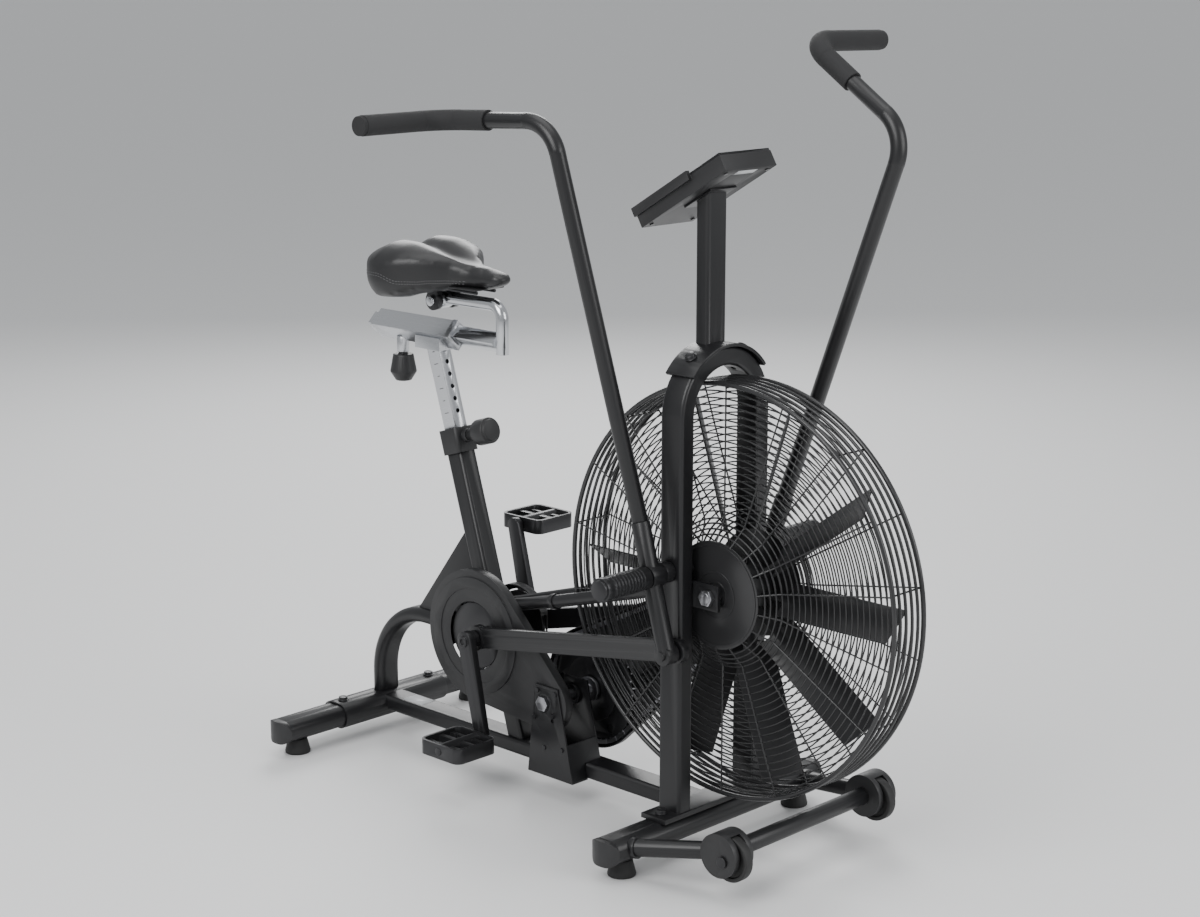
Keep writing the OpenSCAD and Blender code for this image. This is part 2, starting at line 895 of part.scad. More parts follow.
module left_link() {
  color(black)
  link([bb_x - pin_x, 83, bb_z - pin_z],
    [piv_x + b_low[0] * cos(stroke) + b_low[2] * sin(stroke), 115.5,
     piv_z - b_low[0] * sin(stroke) + b_low[2] * cos(stroke)]);
}

// ---------- arm levers ----------

module lever_low() {
  difference() {
    union() {
      run(b_low, toward([0, 0, 0], b_one, 86)) circle(r = 15);
      shaft(0, 0, 19, -15, 15);
      shaft(b_low[0], b_low[2], 16, -12, 12);
    }
    shaft(0, 0, 10.06, -40, 40);
    run(toward([0, 0, 0], b_one, 24), toward([0, 0, 0], b_one, 100)) circle(r = bar_r + 0.1);
  }
  shaft(b_low[0], b_low[2], 7.9, -16.9, 17);
}

// Bends are a little fatter than the straights, which run 2 mm into them
module lever_tube(s, e, ro, ri) {
  m1 = toward(b_one, s, cut(s, b_one, b_two, 65) - 2);
  m2 = toward(b_one, b_two, cut(s, b_one, b_two, 65) - 2);
  m3 = toward(b_two, b_one, cut(b_one, b_two, b_end, 45) - 2);
  m4 = toward(b_two, b_end, cut(b_one, b_two, b_end, 45) - 2);
  if (s[2] < b_one[2] - 50) {
    run(s, m1) disc_ring(ro, ro - ri);
    bend(s, b_one, b_two, 65, ro + 0.2, ro - ri + 0.3);
    run(m2, m3) disc_ring(ro, ro - ri);
  } else {
    run(s, m3) disc_ring(ro, ro - ri);
  }
  bend(b_one, b_two, b_end, 45, ro + 0.2, ro - ri + 0.3);
  run(m4, e) disc_ring(ro, ro - ri);
}

module lever_bar() {
  lever_tube(toward([0, 0, 0], b_one, 25), b_end, bar_r, bar_r - 2);
}

module lever_grip() {
  e = toward(b_two, b_end, norm(b_end - b_two) + 1);
  lever_tube(toward(b_two, b_one, 108), e, grip_r, bar_r + 0.35);
  run(toward(b_two, b_end, norm(b_end - b_two) + 0.5), toward(b_two, b_end, norm(b_end - b_two) + 8))
    circle(r = grip_r - 1);
}

module right_lever() {
  color(black) mirror([0, 1, 0]) lever_frame(1, 0) lever_low();
}

module left_lever() {
  color(black) lever_frame(1, stroke) lever_low();
}

module right_handlebar() {
  color(black) mirror([0, 1, 0]) lever_frame(1, 0) lever_bar();
}

module left_handlebar() {
  color(black) lever_frame(1, stroke) lever_bar();
}

module right_grip() {
  color(rubber) mirror([0, 1, 0]) lever_frame(1, 0) lever_grip();
}

module left_grip() {
  color(rubber) lever_frame(1, stroke) lever_grip();
}

// ---------- seat ----------

// Square section standing on its edge, along x
module diamond(a, x0, x1) {
  translate([x0, 0, sleeve_z]) rotate([45, 0, 0]) translate([0, -a / 2, -a / 2])
    cube([x1 - x0, a, a]);
}

module seat_post() {
  color(alu)
  difference() {
    union() {
      difference() {
        on_seat_tube() translate([0, 0, post_top - 330]) linear_extrude(360) soft_ring(30, 30, 3, 2.6);
        diamond(35, -600, -300);
        translate([-600, -40, sleeve_z]) cube([400, 80, 200]);
      }
      // cradle under the sleeve
      difference() {
        translate([-462, -21, sleeve_z - 29]) cube([64, 42, 22]);
        diamond(35, -600, -300);
        on_seat_tube() translate([0, 0, post_top - 60]) linear_extrude(90) soft(25, 25, 1);
      }
      difference() {
        union() {
          diamond(36, -576, -383);
          diamond(38, -383, -371);
        }
        diamond(30, -577, -382);
        diamond(25.4, -383, -370);
      }
      translate([-518, 0, sleeve_z - 46]) cylinder(r = 11, h = 28);
    }
    diamond(30, -575, -384);
    diamond(30, -577, -384);
    translate([-518, 0, sleeve_z - 60]) cylinder(r = 5.2, h = 60);
    for (i = [0 : 6])
      on_seat_tube() translate([10, 0, post_top - 110 + i * 22]) rotate([0, 90, 0])
        cylinder(r = 4.2, h = 10);
  }
}

module seat_slider() {
  color(alu)
  union() {
    difference() {
      diamond(25, -592, -268);
      diamond(20, -580, -283);
      translate([-260, 0, 700]) cylinder(r = 10.8, h = 200);
    }
    // bent saddle post
    translate([-260, 0, 742]) linear_extrude(59) disc_ring(11, 1.8);
    translate([-285, 0, 801]) rotate([90, 0, 0]) rotate_extrude(angle = 90) translate([25, 0])
      disc_ring(11, 1.8);
    translate([-430, 0, 826]) rotate([0, 90, 0]) linear_extrude(145) disc_ring(11, 1.8);
    // clamp barrel and its bolt
    difference() {
      shaft(-408, 822, 15, -15.4, 15.4);
      translate([-450, 0, 826]) rotate([0, 90, 0]) cylinder(r = 10, h = 80);
    }
    shaft(-408, 822, 5, -34, -14);
    shaft(-408, 822, 5, 14, 34);
    shaft(-408, 822, 9, -33, -27.4);
    shaft(-408, 822, 9, 27.4, 33);
  }
}

module saddle_rails() {
  color(steel) {
    // yoke with toothed cheeks, tilts on the clamp barrel
    difference() {
      union() {
        shaft(-408, 822, 17, -27, -16);
        shaft(-408, 822, 17, 16, 27);
        for (s = [-1, 1])
          translate([-421, s * 21.5 - 5.5, 822]) cube([26, 11, 24]);
        translate([-424, -28, 843.5]) cube([32, 56, 6.3]);
      }
      shaft(-408, 822, 5.06, -40, 40);
    }
    // rails
    for (s = [-1, 1])
      translate([-464, s * 21, 845.5]) rotate([0, 90, 0]) cylinder(r = 3, h = 164);
  }
}

// Half outline of the saddle seen from above, from the rear lobe to the nose
function saddle_half(g) = concat(
  [for (a = [180 : -15 : 75]) [-462 + (62 - g) * cos(a), 48 + (62 - g) * sin(a)]],
  [[-424, 101 - g], [-380, 74 - g], [-345, 42 - g], [-310, 27 - g]],
  [for (a = [85, 60, 35, 10]) [-264 + (23 - g) * cos(a), (23 - g) * sin(a)]]
);

module saddle_plan(g) {
  h = saddle_half(g);
  polygon(concat(h, [for (i = [len(h) - 1 : -1 : 0]) [h[i][0], -h[i][1]]]));
}

module saddle_pan() {
  color(dark)
  translate([-489, -35, 850.3]) cube([198, 70, 2.8]);
}

module saddle_cushion() {
  color(rubber)
  difference() {
    intersection() {
      translate([0, 0, 800]) linear_extrude(140) saddle_plan(0);
      side(-120, 120) polygon([[-526, 862], [-514, 840], [-484, 829], [-450, 831], [-405, 844],
        [-330, 853], [-262, 857], [-240, 864], [-240, 872], [-254, 881], [-290, 884],
        [-340, 892], [-390, 908], [-430, 919], [-470, 920], [-500, 911], [-518, 893]]);
    }
    // hollow for the rails and clamp
    translate([-490, -36, 800]) cube([200, 72, 53.4]);
  }
}

module height_knob() {
  color(dark)
  on_seat_tube() translate([0, 0, 343.6]) rotate([0, 90, 0]) {
    translate([0, 0, 16]) cylinder(r = 5, h = 46);
    translate([0, 0, 33.6]) cylinder(r = 11, h = 26);
    translate([0, 0, 58]) cylinder(r = 23, h = 30);
    translate([0, 0, 88]) cylinder(r = 19, h = 4);
  }
}

module slider_knob() {
  color(dark)
  translate([-518, 0, sleeve_z]) {
    translate([0, 0, -46.6]) cylinder(r = 5, h = 22);
    translate([0, 0, -60]) cylinder(r = 8, h = 13.4);
    translate([0, 0, -82]) cylinder(r1 = 24, r2 = 18, h = 32);
    translate([0, 0, -98]) cylinder(r1 = 14, r2 = 24, h = 16);
  }
}

front_stabiliser();
rear_stabiliser();
end_caps();
rubber_feet();
frame_bolts();
base_tube();
rear_arch();
seat_tube();
seat_collar();
fan_stays();
u_frame();
mast();
console_body();
console_bezel();
display_window();
battery_door();
start_button();
mode_button();
stop_button();
transport_bar();
wheel_housings();
right_wheel();
left_wheel();
pivot_axles();
foot_pegs();
right_chain_cover();
left_crank_cover();
left_chain_guard();
jackshaft_bracket();
bearings();
primary_chain();
secondary_chain();
right_cage();
left_cage();
fan_axle();
fan_wheel();
fan_sprocket();
jackshaft();
drive_sprocket();
crank_axle();
chainring();
right_crank();
left_crank();
right_pedal();
left_pedal();
right_link();
left_link();
right_lever();
left_lever();
right_handlebar();
left_handlebar();
right_grip();
left_grip();
seat_post();
seat_slider();
saddle_rails();
saddle_pan();
saddle_cushion();
height_knob();
slider_knob();
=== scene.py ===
# %% [markdown]
# # Dressing an air bike
# An air bike is a chain driven fan with a saddle, pedals and two arm levers. Its measured parts
# come from CAD, so this file only gives them finishes, rounds their edges, and rebuilds the
# pieces where a manufactured part has far more detail than a drawing: the wire cage, the
# chains, the sprocket teeth, the saddle and the foam grips.

import json
import math

import bmesh
import bpy
from mathutils import Matrix, Vector
from mathutils.bvhtree import BVHTree


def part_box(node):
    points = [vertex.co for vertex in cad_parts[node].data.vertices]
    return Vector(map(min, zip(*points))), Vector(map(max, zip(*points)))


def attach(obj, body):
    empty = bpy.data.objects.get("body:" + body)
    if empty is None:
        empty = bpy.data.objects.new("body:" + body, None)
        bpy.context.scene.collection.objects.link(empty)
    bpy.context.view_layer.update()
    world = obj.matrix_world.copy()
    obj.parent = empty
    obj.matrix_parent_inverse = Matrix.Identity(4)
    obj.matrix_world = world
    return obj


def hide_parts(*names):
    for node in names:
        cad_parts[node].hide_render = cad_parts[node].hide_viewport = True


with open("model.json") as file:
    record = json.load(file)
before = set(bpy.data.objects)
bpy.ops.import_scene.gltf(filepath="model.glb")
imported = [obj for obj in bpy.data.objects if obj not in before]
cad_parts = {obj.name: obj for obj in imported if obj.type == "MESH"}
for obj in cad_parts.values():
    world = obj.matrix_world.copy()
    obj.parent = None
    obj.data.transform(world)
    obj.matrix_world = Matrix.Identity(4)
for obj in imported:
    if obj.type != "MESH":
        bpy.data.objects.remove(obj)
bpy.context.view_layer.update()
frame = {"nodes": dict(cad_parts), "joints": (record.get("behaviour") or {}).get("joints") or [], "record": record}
BODY_OF = {n: b for b, nodes in frame["record"]["behaviour"]["bodies"].items() for n in nodes}
SLOT_OF = {s["node"]: s["material_slot"] for s in frame["record"]["subparts"]}
# The record names bright steel for these. They are shown in the dark steel slot instead.
DARK_HARDWARE = ("right_pedal", "left_pedal", "pivot_axles", "bearings", "saddle_rails")
SLOT_OF.update(dict.fromkeys(DARK_HARDWARE, "dark_steel"))
JOINTS = {j["name"]: j for j in frame["joints"]}

# %% [markdown]
# ## Camera
# The view is a three quarter one from the front right, a little above the saddle. The long lens keeps the
# perspective mild.

# %% Camera
CAMERA_AT = Vector((2.5985, -2.6996, 1.4461))
sight = Vector((-0.680, 0.699, -0.220)).normalized()
camera = bpy.data.objects.new("camera", bpy.data.cameras.new("camera"))
camera.data.lens = 70
camera.data.sensor_width = 36
camera.location = CAMERA_AT
camera.rotation_mode = "QUATERNION"
camera.rotation_quaternion = sight.to_track_quat("-Z", "Y")
bpy.context.scene.collection.objects.link(camera)
bpy.context.scene.camera = camera
print("camera looks along", [round(v, 3) for v in sight])

# %% [markdown]
# ## Finishes
# Almost everything here is coated, moulded or plated, so the colours are plain and the surface
# tells the material: the fine orange peel of powder coat, the grain of moulded plastic, the
# lines of brushed metal. Two shader groups make those patterns, and each material sets its own
# values. The groups put out a height for the bump and a roughness that varies.

# %% Shader group for grain
def new_group(name, inputs, outputs):
    group = bpy.data.node_groups.new(name, "ShaderNodeTree")
    for socket, value in inputs:
        item = group.interface.new_socket(socket, in_out="INPUT", socket_type="NodeSocketFloat")
        item.default_value = value
    for socket in outputs:
        group.interface.new_socket(socket, in_out="OUTPUT", socket_type="NodeSocketFloat")
    return group, group.nodes.new("NodeGroupInput"), group.nodes.new("NodeGroupOutput")


def finish_group(group, ins, outs, height, variation):
    """Puts out one noise as a height, and one as a swing round the set roughness."""
    add, link = group.nodes.new, group.links.new
    centred, spread, total = (add("ShaderNodeMath") for _ in range(3))
    centred.operation, spread.operation, total.operation = "SUBTRACT", "MULTIPLY", "ADD"
    centred.inputs[1].default_value = 0.5
    link(variation.outputs["Fac"], centred.inputs[0])
    link(centred.outputs[0], spread.inputs[0])
    link(ins.outputs["Spread"], spread.inputs[1])
    link(spread.outputs[0], total.inputs[0])
    link(ins.outputs["Roughness"], total.inputs[1])
    link(height.outputs["Fac"], outs.inputs["Height"])
    link(total.outputs[0], outs.inputs["Roughness"])


def make_grain():
    """Round specks of one size, with slow patches in the roughness."""
    group, ins, outs = new_group(
        "fine grain", [("Size", 900), ("Roughness", 0.5), ("Spread", 0.1)], ["Height", "Roughness"]
    )
    add, link = group.nodes.new, group.links.new
    place = add("ShaderNodeTexCoord")
    specks, patches = add("ShaderNodeTexNoise"), add("ShaderNodeTexNoise")
    specks.inputs["Detail"].default_value = 2
    patches.inputs["Scale"].default_value = 14
    patches.inputs["Detail"].default_value = 5
    link(place.outputs["Object"], specks.inputs["Vector"])
    link(place.outputs["Object"], patches.inputs["Vector"])
    link(ins.outputs["Size"], specks.inputs["Scale"])
    finish_group(group, ins, outs, height=specks, variation=patches)
    return group


GRAIN = make_grain()
print("made", GRAIN.name)


# %% Shader group for brushed lines
def make_brushing():
    """Thin lines along one axis, for drawn or brushed metal."""
    group, ins, outs = new_group(
        "brushed lines",
        [("Along X", 6), ("Along Y", 900), ("Along Z", 900), ("Roughness", 0.3), ("Spread", 0.15)],
        ["Height", "Roughness"],
    )
    add, link = group.nodes.new, group.links.new
    place, scale = add("ShaderNodeTexCoord"), add("ShaderNodeCombineXYZ")
    stretch, lines = add("ShaderNodeVectorMath"), add("ShaderNodeTexNoise")
    stretch.operation = "MULTIPLY"
    lines.inputs["Scale"].default_value = 1
    lines.inputs["Detail"].default_value = 3
    for axis in "XYZ":
        link(ins.outputs["Along " + axis], scale.inputs[axis])
    link(place.outputs["Object"], stretch.inputs[0])
    link(scale.outputs[0], stretch.inputs[1])
    link(stretch.outputs[0], lines.inputs["Vector"])
    finish_group(group, ins, outs, height=lines, variation=lines)
    return group


BRUSHING = make_brushing()
print("made", BRUSHING.name)


# %% Materials
def surface(name, colour, group, values, bump=0.1, depth=0.0002, **sockets):
    """A Principled material whose bump and roughness come from one of the groups."""
    material = bpy.data.materials.new(name)
    material.use_nodes = True
    tree = material.node_tree
    shader = tree.nodes["Principled BSDF"]
    shader.inputs["Base Color"].default_value = (*colour, 1)
    for socket, value in sockets.items():
        shader.inputs[socket.title()].default_value = value
    pattern = tree.nodes.new("ShaderNodeGroup")
    pattern.node_tree = group
    for socket, value in values.items():
        pattern.inputs[socket].default_value = value
    relief = tree.nodes.new("ShaderNodeBump")
    relief.inputs["Strength"].default_value = bump
    relief.inputs["Distance"].default_value = depth
    tree.links.new(pattern.outputs["Height"], relief.inputs["Height"])
    tree.links.new(relief.outputs["Normal"], shader.inputs["Normal"])
    tree.links.new(pattern.outputs["Roughness"], shader.inputs["Roughness"])
    return material


def grained(name, colour, roughness, size, bump, spread=0.1, **sockets):
    values = {"Size": size, "Roughness": roughness, "Spread": spread}
    return surface(name, colour, GRAIN, values, bump, **sockets)


def brushed(name, colour, roughness, along, bump=0.08, **sockets):
    values = {"Along " + axis: (6 if axis == along else 900) for axis in "XYZ"}
    values |= {"Roughness": roughness, "Spread": 0.22}
    return surface(name, colour, BRUSHING, values, bump, metallic=1.0, **sockets)


FINISH = {
    "black_paint": grained("satin black powder coat", (0.008, 0.008, 0.009), 0.36, 700, 0.16),
    "cage_paint": grained("black coated wire", (0.022, 0.022, 0.023), 0.24, 900, 0.05),
    "dark_steel": grained(
        "black plated steel", (0.035, 0.035, 0.037), 0.30, 900, 0.05, metallic=0.6
    ),
    "bright_steel": grained("zinc plated steel", (0.40, 0.40, 0.42), 0.30, 900, 0.05, metallic=1.0),
    "aluminium": brushed("brushed aluminium", (0.56, 0.57, 0.59), 0.30, "X"),
    "chrome": brushed("polished tube", (0.58, 0.59, 0.61), 0.17, "X", bump=0.02),
    "black_plastic": grained("moulded black plastic", (0.016, 0.016, 0.017), 0.46, 1300, 0.22),
    "gloss_plastic": grained("gloss black plastic", (0.008, 0.008, 0.009), 0.16, 900, 0.02, 0.05),
    "key_green": grained("green key", (0.03, 0.20, 0.05), 0.42, 1300, 0.1),
    "key_grey": grained("grey key", (0.30, 0.31, 0.32), 0.42, 1300, 0.1),
    "key_red": grained("red key", (0.36, 0.02, 0.015), 0.42, 1300, 0.1),
    "screen": grained("display window", (0.07, 0.085, 0.075), 0.09, 900, 0.0, 0.02),
    "rubber": grained("black rubber", (0.014, 0.014, 0.014), 0.62, 800, 0.2),
    "foam": grained("grip foam", (0.015, 0.015, 0.016), 0.78, 1500, 0.75, depth=0.0005),
    "leatherette": grained(
        "black leatherette", (0.014, 0.014, 0.015), 0.38, 520, 0.45, depth=0.0004
    ),
}
THREAD = grained("grey thread", (0.16, 0.16, 0.165), 0.7, 2500, 0.4)
LABEL = grained("blank label", (0.55, 0.56, 0.57), 0.4, 900, 0.02)
print("materials:", len(FINISH) + 2)

# %% [markdown]
# ## Rounded edges
# No edge on a real machine is knife sharp: tubes are drawn, plates are tumbled and plastic is
# moulded with a radius. A drawn CAD node has sharp edges, so each one is copied, its triangles
# are merged into clean faces, and a Bevel modifier rounds what is left. The copy then stands
# in for the node.

# %% Dress the CAD nodes
BEVEL_SEGMENTS = 2
EDGE_ANGLE = math.radians(32)


def add_piece(bm, name, body, material):
    """Turns a bmesh into an object that moves with a body."""
    mesh = bpy.data.meshes.new(name)
    bm.to_mesh(mesh)
    bm.free()
    mesh.shade_smooth()
    mesh.materials.append(material)
    piece = bpy.data.objects.new(name, mesh)
    bpy.context.scene.collection.objects.link(piece)
    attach(piece, body)
    return piece


def round_edges(piece, width):
    bevel = piece.modifiers.new("rounded edges", "BEVEL")
    bevel.width = width
    bevel.segments = BEVEL_SEGMENTS
    bevel.limit_method = "ANGLE"
    bevel.angle_limit = EDGE_ANGLE
    bevel.harden_normals = True
    return piece


def node_mesh(node):
    """The CAD node's mesh with its loose triangles merged into clean faces."""
    bm = bmesh.new()
    bm.from_mesh(frame["nodes"][node].data)
    bmesh.ops.remove_doubles(bm, verts=bm.verts, dist=1e-6)
    bmesh.ops.dissolve_limit(
        bm, angle_limit=math.radians(0.4), verts=bm.verts, edges=bm.edges, delimit=set()
    )
    return bm


def dress(node, width, name=None):
    """A finished copy of a CAD node, with its edges rounded by this width."""
    slot = SLOT_OF[node]
    name = name or node + "_finished"
    piece = add_piece(node_mesh(node), name, BODY_OF[node], FINISH[slot])
    round_edges(piece, width)
    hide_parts(node)
    return piece


EDGE_WIDTHS = {
    "front_stabiliser": 0.0008, "rear_stabiliser": 0.0008, "end_caps": 0.004, "rubber_feet": 0.0015,
    "frame_bolts": 0.0012, "base_tube": 0.0008, "rear_arch": 0.0005, "seat_tube": 0.0008,
    "seat_collar": 0.0015, "fan_stays": 0.0005, "u_frame": 0.0008, "mast": 0.0008,
    "console_body": 0.003, "console_bezel": 0.001, "display_window": 0.0006, "battery_door": 0.0004,
    "start_button": 0.001, "mode_button": 0.001, "stop_button": 0.001, "transport_bar": 0.0006,
    "wheel_housings": 0.003, "right_wheel": 0.002, "left_wheel": 0.002, "pivot_axles": 0.0008,
    "foot_pegs": 0.0006, "right_chain_cover": 0.0012, "left_crank_cover": 0.0012,
    "left_chain_guard": 0.0012, "jackshaft_bracket": 0.0006, "bearings": 0.0005,
    "fan_axle": 0.0008, "fan_wheel": 0.0005, "jackshaft": 0.0008, "crank_axle": 0.0005,
    "right_crank": 0.0018, "left_crank": 0.0018, "right_pedal": 0.001, "left_pedal": 0.001,
    "right_link": 0.0035, "left_link": 0.0035, "right_lever": 0.001, "left_lever": 0.001,
    "right_handlebar": 0.0004, "left_handlebar": 0.0004, "seat_post": 0.001, "seat_slider": 0.001,
    "saddle_rails": 0.0008, "saddle_pan": 0.0012, "height_knob": 0.002, "slider_knob": 0.002,
}
dressed = {node: dress(node, width) for node, width in EDGE_WIDTHS.items()}
print("dressed", len(dressed), "nodes")

# %% [markdown]
# ## Fan cage
# The cage is welded from wire: fine rings on each face, spokes that cross them, heavier hoops
# round the rim, and a dished collar that steps out to the hub plate. A ring is a small circle
# spun round the fan's axis, and a straight wire is a thin cylinder laid between two points, so
# each side is a few dozen simple shapes in one mesh.

# %% Wire helpers
FAN_AT = Vector(JOINTS["fan_spin"]["pos_m"])
CAGE_LOW, CAGE_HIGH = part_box("right_cage")
RIM_OUTER = (CAGE_HIGH.z - CAGE_LOW.z) / 2
RIM_WIRE = 0.0040
HOOP_WIRE = 0.0026
RING_WIRE = 0.0013
SPOKE_WIRE = 0.0014
HUB_OUTER = 0.087
FACE_Y = 0.036
ALONG_Y = Matrix.Rotation(math.radians(90), 4, "X")


def add_ring(bm, radius, y, wire, steps=96, sides=6):
    """A wire hoop round the fan axis."""
    start = Matrix.Translation(FAN_AT + Vector((radius, y, 0)))
    circle = bmesh.ops.create_circle(bm, segments=sides, radius=wire, matrix=start)
    edges = list({e for v in circle["verts"] for e in v.link_edges})
    bmesh.ops.spin(bm, geom=circle["verts"] + edges, cent=FAN_AT + Vector((0, y, 0)),
                   axis=(0, 1, 0), angle=math.tau, steps=steps, use_merge=True)


def add_rod(bm, start, end, radius, sides=8, radius_end=None):
    """A round bar between two points."""
    start, end = Vector(start), Vector(end)
    span = end - start
    turn = span.to_track_quat("Z", "Y").to_matrix().to_4x4()
    bmesh.ops.create_cone(
        bm, cap_ends=True, segments=sides, radius1=radius,
        radius2=radius if radius_end is None else radius_end, depth=span.length,
        matrix=Matrix.Translation((start + end) / 2) @ turn,
    )


def radial(angle, radius, y):
    """A point on the fan at an angle and radius, at width y."""
    return FAN_AT + Vector((radius * math.cos(angle), y, radius * math.sin(angle)))


# %% Cage sides
RINGS = 19
SPOKES = 18
COLLAR = [(0.119, 0.0365), (0.112, 0.0425), (0.104, 0.0475), (0.096, 0.0515)]


def build_cage(node, side, plate_y):
    """The wires of one side of the cage."""
    bm = bmesh.new()
    rim = RIM_OUTER - RIM_WIRE
    add_ring(bm, rim, side * FACE_Y, RIM_WIRE, 128, 8)
    for y in (0.0216, 0.0074):
        add_ring(bm, rim, side * y, HOOP_WIRE, 128, 6)
    first = COLLAR[0][0]
    for i in range(1, RINGS):
        add_ring(bm, first + (rim - first) * i / RINGS, side * FACE_Y, RING_WIRE, 96, 6)
    for radius, y in COLLAR:
        reach = (plate_y - FACE_Y) / 0.0215
        add_ring(bm, radius, side * (FACE_Y + (y - FACE_Y) * reach), 0.0016, 72, 6)
    for i in range(SPOKES):
        angle = math.tau * (i + 0.5) / SPOKES
        y = side * (FACE_Y + 0.0022)
        start = radial(angle, first, y)
        add_rod(bm, start, radial(angle, rim - 0.001, y), SPOKE_WIRE, 6)
        add_rod(bm, start, radial(angle, 0.085, side * (plate_y + 0.001)), SPOKE_WIRE, 6)
    for i in range(SPOKES // 2):
        angle = math.tau * (2 * i + 0.5) / SPOKES
        add_rod(bm, radial(angle, rim - 0.0045, side * 0.001),
                radial(angle, rim - 0.0045, side * FACE_Y), 0.0016, 6)
    bmesh.ops.recalc_face_normals(bm, faces=bm.faces)
    piece = add_piece(bm, node + "_wires", BODY_OF[node], FINISH["cage_paint"])
    piece.data.set_sharp_from_angle(angle=math.radians(70))
    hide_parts(node)
    return piece


def build_hub_plate(name, side, plate_y, hole):
    """The flat round plate that closes the cage's collar, with three raised rings."""
    bm = bmesh.new()
    bands = [(hole, HUB_OUTER, 0.001, 0.001)]
    bands += [(ring, ring + 0.0035, 0.0, 0.0022) for ring in (0.020, 0.036, 0.079)]
    for inner, outer, back, front in bands:
        near, far = side * (plate_y - back), side * (plate_y + front)
        section = [bm.verts.new(FAN_AT + Vector((r, y, 0)))
                   for r, y in ((inner, near), (outer, near), (outer, far), (inner, far))]
        edges = [bm.edges.new((section[i - 1], section[i])) for i in range(4)]
        bmesh.ops.spin(bm, geom=section + edges, cent=FAN_AT, axis=(0, 1, 0),
                       angle=math.tau, steps=96, use_merge=True)
    bmesh.ops.recalc_face_normals(bm, faces=bm.faces)
    piece = add_piece(bm, name, "frame", FINISH["cage_paint"])
    return round_edges(piece, 0.0004)


for node, side, plate_y, hole in (
    ("right_cage", -1, 0.057, 0.0095), ("left_cage", 1, 0.047, 0.024),
):
    cage = build_cage(node, side, plate_y)
    build_hub_plate(node + "_hub_plate", side, plate_y, hole)
    print(cage.name, "faces:", len(cage.data.polygons))

# %% [markdown]
# ## Sprockets
# A sprocket is a flat disc with a tooth for each link of chain. The CAD has the plain disc, up
# to the bottom of the teeth. A four sided cone, flattened and turned to point outwards, makes
# one tooth, and a ring of them round the disc makes the sprocket.

# %% Toothed wheels
PITCH = 0.0127


def pitch_radius(teeth):
    return PITCH / (2 * math.sin(math.pi / teeth))


def build_tooth_ring(node, teeth, centre, y):
    """A toothed band that sits round the CAD disc."""
    bm = bmesh.new()
    ring = pitch_radius(teeth)
    for i in range(teeth):
        angle = math.tau * (i + 0.5) / teeth
        out = Vector((math.cos(angle), 0, math.sin(angle)))
        foot = Vector((centre.x, y, centre.z)) + out * (ring - 0.0050)
        tip = Vector((centre.x, y, centre.z)) + out * (ring + 0.0035)
        turn = out.to_track_quat("Z", "Y").to_matrix().to_4x4()
        bmesh.ops.create_cone(bm, cap_ends=True, segments=4, radius1=0.0043, radius2=0.0016,
                              depth=(tip - foot).length,
                              matrix=Matrix.Translation((foot + tip) / 2) @ turn
                              @ Matrix.Diagonal((1.0, 0.42, 1.0, 1.0))
                              @ Matrix.Rotation(math.radians(45), 4, "Z"))
    piece = add_piece(bm, node + "_teeth", BODY_OF[node], FINISH["bright_steel"])
    piece.data.set_sharp_from_angle(angle=math.radians(30))
    return piece


CRANK_AT = Vector(JOINTS["crank_spin"]["pos_m"])
JACK_AT = Vector(JOINTS["jackshaft_spin"]["pos_m"])
for node, teeth, centre, y in (
    ("chainring", 48, CRANK_AT, -0.047), ("jackshaft", 16, JACK_AT, -0.047),
    ("drive_sprocket", 48, JACK_AT, 0.062), ("fan_sprocket", 14, FAN_AT, 0.062),
):
    build_tooth_ring(node, teeth, centre, y)
for node in ("chainring", "drive_sprocket", "fan_sprocket"):
    dress(node, 0.0004)
print("sprockets toothed")

# %% [markdown]
# ## Chains
# A roller chain repeats two plates and a roller. The loop is two arcs and two straight runs, so
# a walk along it in steps of one pitch gives the place and direction of every link. Each link
# is a few low shapes, because there are hundreds of them.

# %% Chain links
PLATE_HIGH = 0.0074


def chain_points(centre_a, ring_a, centre_b, ring_b, y):
    """Points one pitch apart round a loop over two sprockets, both seen along Y."""
    a, b = Vector((centre_a.x, centre_a.z)), Vector((centre_b.x, centre_b.z))
    span = b - a
    heading = math.atan2(span.y, span.x)
    open_angle = math.acos((ring_a - ring_b) / span.length)
    run = math.sqrt(span.length ** 2 - (ring_a - ring_b) ** 2)
    arc_a, arc_b = ring_a * (math.tau - 2 * open_angle), ring_b * 2 * open_angle
    total = arc_a + arc_b + 2 * run
    links = 2 * round(total / PITCH / 2)
    points = []
    for i in range(links):
        s = total * i / links
        if s < arc_a:
            angle = heading + open_angle + s / ring_a
            p = a + Vector((math.cos(angle), math.sin(angle))) * ring_a
        elif s < arc_a + run:
            angle = heading - open_angle
            out = Vector((math.cos(angle), math.sin(angle)))
            p = (a + out * ring_a).lerp(b + out * ring_b, (s - arc_a) / run)
        elif s < arc_a + run + arc_b:
            angle = heading - open_angle + (s - arc_a - run) / ring_b
            p = b + Vector((math.cos(angle), math.sin(angle))) * ring_b
        else:
            angle = heading + open_angle
            out = Vector((math.cos(angle), math.sin(angle)))
            p = (b + out * ring_b).lerp(a + out * ring_a, (s - arc_a - run - arc_b) / run)
        points.append(Vector((p.x, y, p.y)))
    return points


